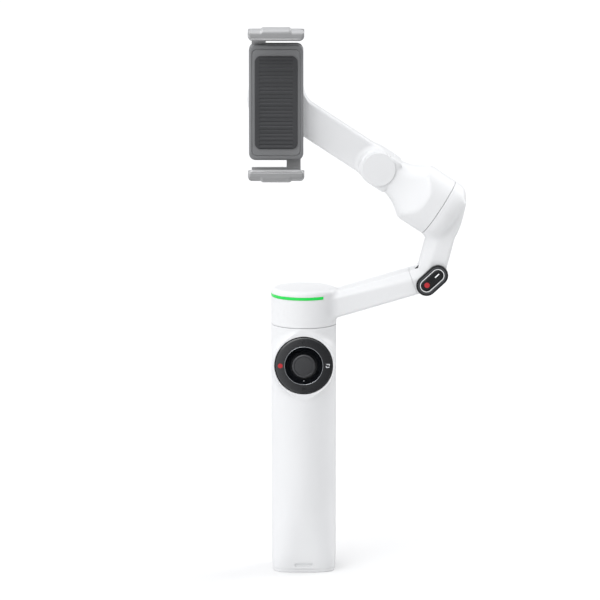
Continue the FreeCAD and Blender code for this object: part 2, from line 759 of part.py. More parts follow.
def jaw():
    """Upper jaw about the clamp's centre, with its rack on the left of the gear."""
    bridge = box(-jaw_half_width, jaw_half_width, jaw_front, jaw_back, jaw_inside, jaw_outside)
    lip = box(-jaw_half_width, jaw_half_width, jaw_front, jaw_front + lip_thickness,
              lip_reach, jaw_outside)
    shape = bridge.fuse(lip).removeSplitter()
    shape = rounded(shape, jaw_corner, lambda c: abs(abs(c.x) - jaw_half_width) < 0.01
                    and c.z > jaw_outside - 0.01)
    ridge = box(-ridge_half_width, ridge_half_width, jaw_front - ridge_height / 2, 1.0,
                lip_reach + 0.8, jaw_outside + ridge_height)
    ridge = ridge.cut(box(-20, 20, jaw_front + 0.8, 5, 0, jaw_inside + 1))
    ridge = rounded(ridge, 0.5, lambda c: abs(abs(c.x) - ridge_half_width) < 0.01)
    pitch_line = gear_module * gear_teeth / 2
    rack_top = jaw_inside + 0.5
    edge = [(-pitch_line + reach, height) for reach, height in rack_edge(-rack_end, rack_top)]
    outer = -slot_half_width + 0.3
    rack = slab([(outer, -rack_end)] + edge + [(outer, rack_top)],
                -slot_half_depth + 0.3, slot_half_depth - 0.3)
    shoulder = box(outer, -outer, -2.5, jaw_back, jaw_inside - 1.7, rack_top)
    return shape.fuse([ridge, rack, shoulder]).removeSplitter()


def clamp():
    upper = jaw()
    grip = box(-grip_half_width, grip_half_width, grip_front, grip_back,
               jaw_inside - grip_thickness, jaw_inside)
    for node, shape in (("upper_jaw", upper), ("upper_jaw_grip", grip)):
        save(node, at(shape, clamp_centre))
        turned_over = shape.copy()
        turned_over.rotate(Vector(), Y, 180)
        save(node.replace("upper", "lower"), at(turned_over, clamp_centre))
    w, h = body_half_width, body_half_height
    body = plate_box(w, h, body_front, body_back, body_corner)
    body = body.cut(box(-slot_half_width, slot_half_width, -slot_half_depth, slot_half_depth,
                        -h - 1, h + 1))
    split = box(-w - 1, w + 1, body_front - 1, -slot_half_depth, -h - 1, h + 1)
    face = body.common(split)
    body = body.cut(split)
    reach = bar_front + roll_motor_depth - motor_height - body_back
    body = body.fuse(rod(hub_radius, Y * body_back, Y, reach))
    body = body.fuse(rod(pinion_pin, Y * slot_half_depth, -Y, 2 * slot_half_depth))
    body = body.removeSplitter()
    pad = plate_box(pad_half_width, pad_half_height, body_front - pad_thickness, body_front,
                    pad_corner)
    for node, shape in (("clamp_body", body), ("clamp_face", face), ("clamp_pad", pad),
                        ("clamp_pinion", pinion())):
        save(node, at(shape, clamp_centre))


os.makedirs("parts", exist_ok=True)
handle_shells()
handle_insides(base_parts())
pole_stages()
controls()
pan_head()
upper_arm()
button_pod()
link_arm()
clamp()
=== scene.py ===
import math

import bmesh
import bpy
import numpy as np
from mathutils import Matrix, Vector


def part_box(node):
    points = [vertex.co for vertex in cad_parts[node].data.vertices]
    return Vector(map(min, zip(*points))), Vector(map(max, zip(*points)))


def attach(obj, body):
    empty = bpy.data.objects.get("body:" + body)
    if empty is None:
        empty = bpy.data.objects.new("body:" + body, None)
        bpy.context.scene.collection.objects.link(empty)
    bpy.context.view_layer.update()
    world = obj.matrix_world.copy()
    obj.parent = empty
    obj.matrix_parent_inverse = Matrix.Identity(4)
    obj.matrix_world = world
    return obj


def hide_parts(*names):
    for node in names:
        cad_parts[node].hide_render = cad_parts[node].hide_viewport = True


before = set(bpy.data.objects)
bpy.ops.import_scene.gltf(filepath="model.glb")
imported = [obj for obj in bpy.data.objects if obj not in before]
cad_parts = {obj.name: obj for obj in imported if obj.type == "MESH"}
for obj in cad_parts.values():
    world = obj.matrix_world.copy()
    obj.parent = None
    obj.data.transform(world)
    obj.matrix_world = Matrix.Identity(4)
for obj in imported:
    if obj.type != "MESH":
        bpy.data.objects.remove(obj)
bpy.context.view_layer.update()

# --- Studio ---------------------------------------------------------------------------------
# A long lens looks ten degrees down at the front of the stabilizer. It stands on a pale floor
# in a white room that is brightest on the left and overhead, with a broad light in front and
# another behind it on the right. The floor isn't mirrored in glossy pieces.
scene = bpy.context.scene
scene.view_settings.view_transform = "Standard"
look_at = Vector((-0.00194, 0.0, 0.1407))
look_down = math.radians(10)
stand_off = 3.0
view_width = 0.3105
camera_lens = bpy.data.cameras.new("camera")
camera_lens.sensor_width = 36.0
camera_lens.lens = camera_lens.sensor_width * stand_off / view_width
camera_lens.clip_end = 50.0
camera = bpy.data.objects.new("camera", camera_lens)
camera.location = look_at + stand_off * Vector((0, -math.cos(look_down), math.sin(look_down)))
camera.rotation_euler = (math.pi / 2 - look_down, 0, 0)
scene.collection.objects.link(camera)
scene.camera = camera

floor_half = 9.0
floor_mesh = bpy.data.meshes.new("floor")
floor_mesh.from_pydata([(-floor_half, -floor_half, 0), (floor_half, -floor_half, 0),
                        (floor_half, floor_half, 0), (-floor_half, floor_half, 0)],
                       [], [(0, 1, 2, 3)])
floor = bpy.data.objects.new("floor", floor_mesh)
scene.collection.objects.link(floor)
floor_paint = bpy.data.materials.new("floor_paint")
floor_paint.use_nodes = True
floor_shader = floor_paint.node_tree.nodes["Principled BSDF"]
floor_shader.inputs["Base Color"].default_value = (0.7, 0.7, 0.7, 1)
floor_shader.inputs["Roughness"].default_value = 0.9
floor_shader.inputs["Specular IOR Level"].default_value = 0.1
floor_shader.inputs["Emission Color"].default_value = (1, 1, 1, 1)
floor_shader.inputs["Emission Strength"].default_value = 0.06
floor_mesh.materials.append(floor_paint)
floor.visible_glossy = False

room = bpy.data.worlds.new("room")
room.use_nodes = True
room_nodes, room_link = room.node_tree.nodes, room.node_tree.links.new
background = room_nodes["Background"]
background.inputs["Color"].default_value = (0.98, 0.985, 1.0, 1)
direction = room_nodes.new("ShaderNodeSeparateXYZ")
room_link(room_nodes.new("ShaderNodeTexCoord").outputs["Generated"], direction.inputs[0])
panels = []
for axis, dark_from, bright_to, dimmest, brightest in (("X", 0.15, -0.4, 0.24, 0.9),
                                                       ("Z", 0.3, 1.0, 0.0, 1.1)):
    panel = room_nodes.new("ShaderNodeMapRange")
    panel.interpolation_type = "SMOOTHSTEP"
    for socket, number in zip(("From Min", "From Max", "To Min", "To Max"),
                              (dark_from, bright_to, dimmest, brightest)):
        panel.inputs[socket].default_value = number
    room_link(direction.outputs[axis], panel.inputs["Value"])
    panels.append(panel.outputs["Result"])
both_panels = room_nodes.new("ShaderNodeMath")
for panel, socket in zip(panels, both_panels.inputs):
    room_link(panel, socket)
room_link(both_panels.outputs[0], background.inputs["Strength"])
scene.world = room


def broad_light(name, azimuth, height, strength, spread):
    """Soft light from far away; azimuth counts from the front, positive to the right."""
    lamp = bpy.data.lights.new(name, "SUN")
    lamp.energy = strength
    lamp.angle = math.radians(spread)
    holder = bpy.data.objects.new(name, lamp)
    azimuth, height = math.radians(azimuth), math.radians(height)
    towards = Vector((math.sin(azimuth) * math.cos(height), -math.cos(azimuth) * math.cos(height),
                      math.sin(height)))
    holder.rotation_euler = towards.to_track_quat("Z", "Y").to_euler()
    scene.collection.objects.link(holder)


broad_light("front_light", -32, 42, 0.85, 50)
broad_light("back_light", 120, 22, 1.6, 50)

# --- Handle shells --------------------------------------------------------------------------
# Two white ABS halves, moulded with a fine satin texture and snapped together along the sides.
# The tube is round at the top, squares off at the foot and swells around the control wheel.
base_thickness = 1.6
handle_radius = 16.8
handle_top = 128.5
cavity_radius = 14.6
wheel_z = 109.3
handle_front = -16.9
swelling_radius = 16.3
wheel_pocket = (15.15, -11.9, 0.4)    # radius, y of its floor, rounding of its edge
switch_pocket = (13.6, -10.4, 0)
finger_slot = (3.9, 3.75, 0.9)        # height, half spacing of its round ends, their radius
socket_hole = (14, 2.9, 1.65)
trigger_size = (5.0, 8.0, 2.0)        # half width, half height, corner
trigger_z = 106.0
power_size = (3.0, 3.5, 2.65)
power_z = 82.5
buttons_from = 8                      # y where the windows and the buttons at the back start
window_round = 0.3
half_seam = 0.04                      # half the hairline gap between two shells
seam_round = 0.35
far_front, far_back = -40, 30         # y well clear of every piece
shell_pitch = 0.6


def finish(name, colour, roughness, mottle=0.03, grain=0.25, depth=0.012, metal=0.0, worn=1.15):
    """Solid finish with faint clouding, a fine surface grain and slightly polished edges.
    grain and depth are in millimetres; worn is how much lighter a rubbed edge is."""
    material = bpy.data.materials.new(name)
    material.use_nodes = True
    nodes, link = material.node_tree.nodes, material.node_tree.links.new
    shader = nodes["Principled BSDF"]
    shader.inputs["Metallic"].default_value = metal
    place = nodes.new("ShaderNodeTexCoord").outputs["Object"]

    def noise(size, detail):
        texture = nodes.new("ShaderNodeTexNoise")
        texture.inputs["Scale"].default_value = 1000 / size
        texture.inputs["Detail"].default_value = detail
        link(place, texture.inputs["Vector"])
        return texture.outputs["Fac"]

    def span(value, low, high, to_low, to_high):
        mapped = nodes.new("ShaderNodeMapRange")
        for socket, number in zip(("From Min", "From Max", "To Min", "To Max"),
                                  (low, high, to_low, to_high)):
            mapped.inputs[socket].default_value = number
        link(value, mapped.inputs["Value"])
        return mapped.outputs["Result"]

    def blended(factor, first, second):
        mixer = nodes.new("ShaderNodeMix")
        mixer.data_type = "RGBA"
        link(factor, mixer.inputs["Factor"])
        for socket, value in zip((mixer.inputs[6], mixer.inputs[7]), (first, second)):
            if isinstance(value, tuple):
                socket.default_value = (*value, 1)
            else:
                link(value, socket)
        return mixer.outputs[2]

    def scaled(amount):
        return tuple(min(1.0, channel * amount) for channel in colour)

    cloud = noise(28, 3)
    grains = noise(grain, 2)
    edges = span(nodes.new("ShaderNodeNewGeometry").outputs["Pointiness"], 0.53, 0.62, 0, 0.6)
    tint = blended(span(cloud, 0.3, 0.7, 0, 1), scaled(1 - mottle), scaled(1 + mottle))
    link(blended(edges, tint, scaled(worn)), shader.inputs["Base Color"])
    sheen = nodes.new("ShaderNodeMath")
    sheen.operation = "SUBTRACT"
    link(span(grains, 0.3, 0.7, roughness - 0.05, roughness + 0.05), sheen.inputs[0])
    link(span(edges, 0, 1, 0, 0.12), sheen.inputs[1])
    link(sheen.outputs[0], shader.inputs["Roughness"])
    bump = nodes.new("ShaderNodeBump")
    bump.inputs["Strength"].default_value = 0.5
    bump.inputs["Distance"].default_value = depth / 1000
    link(grains, bump.inputs["Height"])
    link(bump.outputs["Normal"], shader.inputs["Normal"])
    return material


def recoat(material, *names):
    """Give CAD nodes a finish."""
    for name in names:
        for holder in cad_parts[name].material_slots:
            holder.material = material


def joined(a, b, blend=0.0):
    """Two distances made one solid, with a fillet about blend wide where they meet."""
    if not blend:
        return np.minimum(a, b)
    near = np.maximum(blend - np.abs(a - b), 0) / blend
    return np.minimum(a, b) - near * near * blend / 4


def shared(a, b, blend=0.0):
    """What two solids have in common, the edge between them eased by blend."""
    return -joined(-a, -b, blend)


def cut(a, b, blend=0.0):
    """The first solid with the second taken away."""
    return -joined(-a, b, blend)


def drawn(flat, along, low, high, edge=0.0):
    """A flat outline drawn out along an axis, its end edges rounded."""
    across = flat + edge
    over = np.abs(along - (low + high) / 2) - (high - low) / 2 + edge
    outside = np.hypot(np.maximum(across, 0), np.maximum(over, 0))
    return np.minimum(np.maximum(across, over), 0) + outside - edge


def rect(u, v, half_u, half_v, corner=0.0):
    """Flat rectangle with rounded corners."""
    return drawn(np.abs(u) - half_u, v, -half_v, half_v, corner)


def pill(u, v, spacing, radius):
    """Flat pill whose round ends lie spacing either side of the middle."""
    return np.hypot(np.maximum(np.abs(u) - spacing, 0), v) - radius


def add_piece(name, mesh, material, body, slot, *stands_for):
    """Put a mesh in the scene, on the body it moves with."""
    piece = bpy.data.objects.new(name, mesh)
    scene.collection.objects.link(piece)
    mesh.materials.append(material)
    mesh.shade_smooth()
    mesh.set_sharp_from_angle(angle=math.radians(32))
    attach(piece, body)
    if stands_for:
        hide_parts(*stands_for)


def moulded(name, solid, low, high, pitch):
    """Mesh of the skin where solid(points in mm) turns from inside to outside. Every grid cell
    that the skin crosses gets the point that best fits the tangent planes at its crossings, so
    that creases stay crisp and rounds stay smooth."""
    steps = [np.arange(a - pitch, b + 2 * pitch, pitch) for a, b in zip(low, high)]
    corner = np.array([step[0] for step in steps])
    shape = tuple(len(step) for step in steps)
    points = np.stack(np.meshgrid(*steps, indexing="ij"), -1).reshape(-1, 3)
    field = solid(points).reshape(shape)
    inside = field < 0
    unit = np.eye(3, dtype=int)
    starts, axes = [], []
    for axis in range(3):
        ahead = np.roll(inside, -1, axis) != inside
        found = np.argwhere(ahead)
        found = found[found[:, axis] < shape[axis] - 1]
        starts.append(found)
        axes.append(np.full(len(found), axis))
    starts, axes = np.concatenate(starts), np.concatenate(axes)
    first = field[tuple(starts.T)]
    second = field[tuple((starts + unit[axes]).T)]
    base, along = corner + pitch * starts, pitch * unit[axes]
    near, far = np.zeros(len(base)), np.ones(len(base))
    value_near, value_far = first.copy(), second.copy()
    for _ in range(4):
        share = near + (far - near) * np.clip(value_near / (value_near - value_far), 0.02, 0.98)
        here = solid(base + along * share[:, None])
        same = (here < 0) == (value_near < 0)
        near, value_near = np.where(same, share, near), np.where(same, here, value_near)
        far, value_far = np.where(same, far, share), np.where(same, value_far, here)
    share = near + (far - near) * value_near / (value_near - value_far)
    cross = base + along * share[:, None]
    probe = 0.01 * np.array([(1, -1, -1), (-1, -1, 1), (-1, 1, -1), (1, 1, 1)])
    normal = sum(solid(cross + offset)[:, None] * offset for offset in probe)
    normal /= np.linalg.norm(normal, axis=1)[:, None] + 1e-12
    side_a, side_b = unit[(axes + 1) % 3], unit[(axes + 2) % 3]
    around = [starts - side_a - side_b, starts - side_b, starts, starts - side_a]
    keys = np.stack([np.ravel_multi_index(tuple(cell.T), shape) for cell in around], 1)
    used, cells = np.unique(keys, return_inverse=True)
    cells = cells.reshape(-1, 4)
    owner = cells.ravel()

    def gathered(values):
        return np.bincount(owner, np.repeat(values, 4), len(used))

    total = np.bincount(owner, minlength=len(used))
    middle = np.stack([gathered(cross[:, k]) for k in range(3)], 1) / total[:, None]
    lift = np.einsum("ij,ij->i", np.repeat(normal, 4, 0), np.repeat(cross, 4, 0) - middle[owner])
    planes = np.empty((len(used), 3, 3))
    pull = np.empty((len(used), 3))
    for row in range(3):
        pull[:, row] = np.bincount(owner, np.repeat(normal[:, row], 4) * lift, len(used))
        for column in range(3):
            planes[:, row, column] = gathered(normal[:, row] * normal[:, column])
    spread, frames = np.linalg.eigh(planes)
    kept = spread > 0.05 * spread[:, -1:]
    inverse = np.where(kept, 1 / np.maximum(spread, 1e-9), 0)
    moved = np.einsum("nij,nj->ni", frames, inverse * np.einsum("nji,nj->ni", frames, pull))
    cell_corner = corner + pitch * np.stack(np.unravel_index(used, shape), 1)
    verts = np.clip(middle + moved, cell_corner, cell_corner + pitch)
    quads = np.where((first < 0)[:, None], cells, cells[:, ::-1])
    a, b, c, d = (verts[quads[:, k]] for k in range(4))
    short = np.abs(solid((a + c) / 2)) <= np.abs(solid((b + d) / 2))
    turned_quads = np.where(short[:, None], quads, np.roll(quads, -1, 1))
    faces = np.concatenate([turned_quads[:, [0, 1, 2]], turned_quads[:, [0, 2, 3]]])
    mesh = bpy.data.meshes.new(name)
    mesh.from_pydata((verts / 1000).tolist(), [], faces.tolist())
    mesh.validate()
    return mesh


white_plastic = finish("white_plastic", (0.745, 0.75, 0.757), 0.42, mottle=0.012, grain=0.3,
                       depth=0.012, worn=1.05)


def handle_skin(points):
    x, y, z = points.T
    foot_blend, foot_squareness, foot_taper, foot_inset, draft = 43.4, 4.6, 7.0, 0.55, 0.2
    rise = np.clip((z - base_thickness) / foot_blend, 0, 1)
    squareness = 2 + (foot_squareness - 2) * (1 - rise) ** 2
    taper = np.clip(1 - (z - base_thickness) / foot_taper, 0, 1)
    half = handle_radius - draft * (1 - z / handle_top) - foot_inset * taper ** 1.5
    tube = (np.abs(x) ** squareness + np.abs(y) ** squareness) ** (1 / squareness) - half
    from_wheel = np.hypot(x, z - wheel_z)
    swelling = drawn(from_wheel - swelling_radius, y, handle_front, -4, 0.8)
    limits = np.maximum(np.abs(x) - handle_radius, handle_front - y)
    skin = np.maximum(joined(tube, swelling, 3.5), limits)
    middle = (base_thickness + handle_top) / 2
    skin = shared(skin, np.abs(z - middle) - (handle_top - base_thickness) / 2, 0.5)
    skin = cut(skin, np.hypot(x, y) - cavity_radius)
    for radius, pocket_floor, edge in (wheel_pocket, switch_pocket):
        skin = cut(skin, drawn(from_wheel - radius, y, far_front, pocket_floor), edge)
    slot_z, slot_spacing, slot_radius = finger_slot
    slot = drawn(pill(x, z - slot_z, slot_spacing, slot_radius), y, far_front, -15.6)
    return cut(skin, slot, 0.5)


def front_shell(points):
    return shared(handle_skin(points), points[:, 1] + half_seam, seam_round)


def rear_shell(points):
    x, y, z = points.T
    skin = shared(handle_skin(points), half_seam - y, seam_round)
    for (half_width, half_height, corner), centre, gap in ((trigger_size, trigger_z, 0.3),
                                                           (power_size, power_z, 0.25)):
        window = rect(x, z - centre, half_width + gap, half_height + gap, corner + gap)
        skin = cut(skin, drawn(window, y, buttons_from, far_back), window_round)
    hole_z, hole_spacing, hole_radius = socket_hole
    hole = pill(x, z - hole_z, hole_spacing, hole_radius)
    return cut(skin, drawn(hole, y, buttons_from, far_back), window_round)


add_piece("handle_front_shell",
          moulded("handle_front_shell", front_shell, (-17, -17, 1.5), (17, 0, 128.5), shell_pitch),
          white_plastic, "handle", "white_shell", "front_shell")
add_piece("handle_rear_shell",
          moulded("handle_rear_shell", rear_shell, (-17, 0, 1.5), (17, 17, 128.5), shell_pitch),
          white_plastic, "handle", "white_shell", "rear_shell")

# --- Foot of the handle ---------------------------------------------------------------------
# A white cap closes the foot. Three steel screws hold it to the cell cradle above, and a
# turned brass insert with the tripod thread is pressed into its middle.
recoat(white_plastic, "base_cap")
recoat(finish("turned_brass", (0.72, 0.52, 0.25), 0.26, mottle=0.06, grain=0.12, depth=0.01,
              metal=1.0, worn=1.25), "tripod_insert")
bright_steel = finish("bright_steel", (0.55, 0.56, 0.58), 0.28, mottle=0.05, grain=0.15,
                      depth=0.008, metal=1.0, worn=1.25)
recoat(bright_steel, "base_screws")

# --- Inside the handle ----------------------------------------------------------------------
# Two cells in blue shrink wrap stand on a black moulded cradle, with the control board and
# its steel charging socket behind them. A white cap carries the pole's aluminium guide tube.
black_plastic = finish("black_plastic", (0.022, 0.023, 0.025), 0.4, mottle=0.12, grain=0.25,
                       depth=0.012, worn=1.9)
cell_wrap = finish("cell_wrap", (0.03, 0.09, 0.28), 0.3, mottle=0.08, grain=1.8, depth=0.03)
board_green = finish("board_green", (0.01, 0.1, 0.04), 0.33, mottle=0.25, grain=0.6, depth=0.02,
                     worn=1.6)
satin_aluminium = finish("satin_aluminium", (0.68, 0.69, 0.71), 0.3, mottle=0.03, grain=0.1,
                         depth=0.006, metal=1.0, worn=1.1)
recoat(black_plastic, "cell_cradle")
recoat(cell_wrap, "battery_cells")
recoat(board_green, "main_board")
recoat(bright_steel, "charging_socket")
recoat(satin_aluminium, "pole_guide")
recoat(white_plastic, "handle_top_cap")

# --- Telescopic pole ------------------------------------------------------------------------
# Three drawn aluminium tubes, satin anodised, slide in one another and are held by friction.
# The smallest carries the pan head's base.
recoat(satin_aluminium, "pole_stage_1", "pole_stage_2", "pole_stage_3")

# --- Control wheel --------------------------------------------------------------------------
# A black ring of turned look with a soft sheen, pressed against four switches on a board. Its
# bright bevel runs round a concave dish, and small printed signs mark its four quarters.
wheel_radius = 14.86
wheel_turns = 144
sign_circle = 12.15
sign_lift = 17.57
dish_dot_lift = 15.45
facing = Matrix.Translation((0, 0, wheel_z)) @ Matrix.Rotation(math.pi / 2, 4, "X")


def eased(points, radius, closed=True):
    """Round the corners of an outline; each item is (radius, height) or has its own rounding."""
    soft, count = [], len(points)
    for index, item in enumerate(points):
        here = Vector(item[:2])
        reach = item[2] if len(item) > 2 else radius
        if not reach or (not closed and index in (0, count - 1)):
            soft.append(tuple(here))
            continue
        before, after = Vector(points[index - 1][:2]), Vector(points[(index + 1) % count][:2])
        into = (before - here).normalized() * min(reach, 0.45 * (before - here).length)
        out = (after - here).normalized() * min(reach, 0.45 * (after - here).length)
        for step in range(5):
            t = step / 4
            soft.append(tuple(here + into * (1 - t) ** 2 + out * t ** 2))
    return soft


def turned(name, profile, place, spacing=0.0, turns=96, ring=True):
    """Carry a profile of (radius, height) round a circle, or round a pill of that spacing.
    A ring's profile is closed; any other profile starts and ends on the axis."""
    half = turns // 2
    angles = [math.pi * (step / half - 0.5) for step in range(half + 1)]
    path = [(spacing, angle) for angle in angles]
    path += [(-spacing, angle + math.pi) for angle in angles]
    work = bmesh.new()
    rows = [[work.verts.new(place @ Vector((centre + radius * math.cos(angle),
                                            radius * math.sin(angle), height)))
             for radius, height in profile] for centre, angle in path]
    count = len(profile)
    for index, row in enumerate(rows):
        after = rows[(index + 1) % len(rows)]
        for k in range(count if ring else count - 1):
            work.faces.new((row[k], after[k], after[(k + 1) % count], row[(k + 1) % count]))
    bmesh.ops.remove_doubles(work, verts=work.verts, dist=1e-4)
    bmesh.ops.dissolve_degenerate(work, edges=work.edges, dist=1e-4)
    bmesh.ops.recalc_face_normals(work, faces=work.faces)
    bmesh.ops.scale(work, vec=(0.001, 0.001, 0.001), verts=work.verts)
    mesh = bpy.data.meshes.new(name)
    work.to_mesh(mesh)
    work.free()
    return mesh


def ringed(material, centre, pitch, depth):
    """Add fine turned rings about a front-to-back axis to a finish. Sizes in millimetres."""
    nodes, link = material.node_tree.nodes, material.node_tree.links.new
    shift = nodes.new("ShaderNodeMapping")
    shift.inputs["Location"].default_value = tuple(-value / 1000 for value in centre)
    link(nodes.new("ShaderNodeTexCoord").outputs["Object"], shift.inputs["Vector"])
    wave = nodes.new("ShaderNodeTexWave")
    wave.wave_type, wave.rings_direction = "RINGS", "Y"
    wave.inputs["Scale"].default_value = 1000 / pitch * math.pi / 10
    wave.inputs["Distortion"].default_value = 0.4
    wave.inputs["Detail"].default_value = 2.0
    link(shift.outputs["Vector"], wave.inputs["Vector"])
    lathe_marks = nodes.new("ShaderNodeBump")
    lathe_marks.inputs["Strength"].default_value = 0.6
    lathe_marks.inputs["Distance"].default_value = depth / 1000
    link(wave.outputs["Fac"], lathe_marks.inputs["Height"])
    shader = nodes["Principled BSDF"]
    grain_bump = shader.inputs["Normal"].links[0].from_node
    link(lathe_marks.outputs["Normal"], grain_bump.inputs["Normal"])
    return material


def inlay(name, outlines, place, lift, material, body, slot):
    """Printed signs: thin raised patches with flat tops."""
    work = bmesh.new()
    for outline_points in outlines:
        low = [work.verts.new(place @ Vector((u, v, lift - 0.05))) for u, v in outline_points]
        high = [work.verts.new(place @ Vector((u, v, lift + 0.03))) for u, v in outline_points]
        work.faces.new(low[::-1])
        work.faces.new(high)
        for k in range(len(low)):
            after = (k + 1) % len(low)
            work.faces.new((low[k], low[after], high[after], high[k]))
    bmesh.ops.recalc_face_normals(work, faces=work.faces)
    bmesh.ops.scale(work, vec=(0.001, 0.001, 0.001), verts=work.verts)
    mesh = bpy.data.meshes.new(name)
    work.to_mesh(mesh)
    work.free()
    add_piece(name, mesh, material, body, slot)


def disc(u, v, radius, count=32):
    return [(u + radius * math.cos(2 * math.pi * k / count),
             v + radius * math.sin(2 * math.pi * k / count)) for k in range(count)]


wheel_sheen = ringed(finish("wheel_sheen", (0.006, 0.007, 0.009), 0.2, mottle=0.08, grain=0.2,
                            depth=0.004, worn=5.0), (0, 0, wheel_z), 0.16, 0.01)
wheel_sheen.node_tree.nodes["Principled BSDF"].inputs["Specular IOR Level"].default_value = 1.0
wheel_profile = eased([(4.6, 13.2, 0.1), (4.6, 14.5, 0.3), (7.2, 14.5, 1.4), (9.2, 16.0, 1.8),
                       (9.72, 17.45, 0.15), (10.1, 17.6, 0.15), (12.2, 17.42, 1.0),
                       (14.2, 17.1, 0.6), (wheel_radius, 16.5, 0.5), (wheel_radius, 12.9, 0.1),
                       (13.26, 12.9, 0.1), (13.26, 13.2, 0.1)], 0.2)
add_piece("wheel_ring", turned("wheel_ring", wheel_profile, facing, turns=wheel_turns), wheel_sheen,
          "control_wheel", "wheel_ring", "control_wheel")
bevel_metal = finish("bevel_metal", (0.62, 0.64, 0.67), 0.2, mottle=0.04, grain=0.1, depth=0.004,
                     metal=1.0)
bevel_profile = eased([(9.68, 17.25), (9.76, 17.58), (9.9, 17.68), (10.02, 17.6), (10.02, 17.25)],
                      0.08)
add_piece("wheel_bright_bevel",
          turned("wheel_bright_bevel", bevel_profile, facing, turns=wheel_turns),
          bevel_metal, "control_wheel", "wheel_ring")
grey_print = finish("grey_print", (0.55, 0.56, 0.58), 0.5, mottle=0.05, grain=0.2, depth=0.004)
dark_print = finish("dark_print", (0.006, 0.006, 0.008), 0.5, mottle=0.1, grain=0.2, depth=0.004)
red_print = finish("red_print", (0.45, 0.015, 0.022), 0.5, mottle=0.05, grain=0.2, depth=0.004)
crescent = [(0.95 * math.cos(math.radians(a)), sign_circle + 0.95 * math.sin(math.radians(a)))
            for a in range(70, 291, 20)]
crescent += [(0.35 + 0.85 * math.cos(math.radians(a)),
              sign_circle + 0.72 * math.sin(math.radians(a))) for a in range(280, 79, -20)]


def bar_sign(u, v, half_u, half_v):
    """Outline of a short straight bar."""
    return [(u - half_u, v - half_v), (u + half_u, v - half_v),
            (u + half_u, v + half_v), (u - half_u, v + half_v)]


stroke = 0.16
ladder = [bar_sign(-0.7, -sign_circle, stroke, 0.85), bar_sign(0.7, -sign_circle, stroke, 0.85),
          bar_sign(0, -sign_circle, 0.54, stroke)]
turn_sign = [[(11.35, 0.95), (13.45, 1.0), (13.4, 0.1), (13.0, 0.1), (13.0, 0.5), (12.2, 0.5)],
             [(11.35, 0.0), (11.75, 0.0), (11.8, -0.5), (12.6, -0.6), (13.35, -0.3), (13.1, -1.0),
              (11.5, -1.05)]]
for name, outlines, lift, print_colour in (
        ("wheel_sign_top", [crescent], sign_lift, dark_print),
        ("wheel_sign_bottom", ladder, sign_lift, dark_print),
        ("wheel_sign_right", turn_sign, sign_lift, grey_print),
        ("wheel_record_dot", [disc(-sign_circle, 0, 1.25)], sign_lift, red_print),
        ("wheel_dish_dot", [disc(0, -8.35, 0.3, 16)], dish_dot_lift, grey_print)):
    inlay(name, outlines, facing, lift, print_colour, "control_wheel", "wheel_ring")
recoat(board_green, "wheel_board")
recoat(bright_steel, "wheel_switches")

# --- Joystick -------------------------------------------------------------------------------
# A round rubber cap with a raised rim, cross-hatched on top for the thumb, on a stick that
# tips in a black yoke and cup under the wheel.
rubber = finish("rubber", (0.035, 0.036, 0.039), 0.55, mottle=0.1, grain=0.15, depth=0.02,
                worn=2.4)
rim_rubber = finish("rim_rubber", (0.04, 0.041, 0.044), 0.25, mottle=0.08, grain=0.2, depth=0.006,
                    worn=2.6)
recoat(black_plastic, "joystick_base", "joystick_yoke", "joystick_stick")
rim_profile = eased([(0, 16.95), (5.5, 16.95), (6.0, 17.4), (6.0, 18.3), (5.5, 18.8),
                     (4.95, 18.8), (4.75, 18.45), (0, 18.45)], 0.35, closed=False)
add_piece("joystick_rim", turned("joystick_rim", rim_profile, facing, ring=False), rim_rubber,
          "joystick", "joystick_rubber", "joystick_cap")


def hatched_disc(name, radius, foot, top, crown, pitch, relief):
    """Domed disc whose top is a grid of small pyramids set on the diagonal."""
    count = 96
    work = bmesh.new()
    rows = []
    for i in range(count + 1):
        row = []
        for j in range(count + 1):
            u, v = 2 * i / count - 1, 2 * j / count - 1
            x, y = u * math.sqrt(1 - v * v / 2), v * math.sqrt(1 - u * u / 2)
            out = math.hypot(x, y)
            a, b = (x + y) * radius / pitch, (x - y) * radius / pitch
            peak = (1 - 2 * abs(a - round(a))) * (1 - 2 * abs(b - round(b)))
            fade = min(1.0, (1 - out) * 8)
            height = top + crown * (1 - out * out) + relief * peak * fade
            row.append(work.verts.new(facing @ Vector((x * radius, y * radius, height))))
        rows.append(row)
    for i in range(count):
        for j in range(count):
            work.faces.new((rows[i][j], rows[i + 1][j], rows[i + 1][j + 1], rows[i][j + 1]))
    rim = [rows[k][0] for k in range(count)] + rows[count][:-1]
    rim += [rows[k][count] for k in range(count, 0, -1)] + rows[0][:0:-1]
    low = [work.verts.new((vert.co.x, -foot, vert.co.z)) for vert in rim]
    for k in range(len(rim)):
        after = (k + 1) % len(rim)
        work.faces.new((rim[k], rim[after], low[after], low[k]))
    work.faces.new(low)
    bmesh.ops.recalc_face_normals(work, faces=work.faces)
    bmesh.ops.scale(work, vec=(0.001, 0.001, 0.001), verts=work.verts)
    mesh = bpy.data.meshes.new(name)
    work.to_mesh(mesh)
    work.free()
    return mesh


add_piece("joystick_grip", hatched_disc("joystick_grip", 4.7, 18.2, 18.72, 0.28, 0.62, 0.16),
          rubber, "joystick", "joystick_rubber")

# --- Trigger and power button ---------------------------------------------------------------
# Both sit in the back of the handle and follow its curve. The white trigger has a shallow
# scoop for the finger; the small black power button is dished.
trigger_proud, power_proud = 0.9, 0.3
button_back = 0.9                     # how far the caps reach in past the shell's inside
scoop_y, scoop_radius = 36.9, 20
dish_y, dish_radius = 28.7, 12


def curved_cap(points, centre_z, size, proud, edge):
    """Front of a button that follows the handle's curve, and stands proud of it."""
    x, y, z = points.T
    half_width, half_height, corner = size
    return shared(rect(x, z - centre_z, half_width, half_height, corner),
                  np.hypot(x, y) - handle_radius - proud, edge)


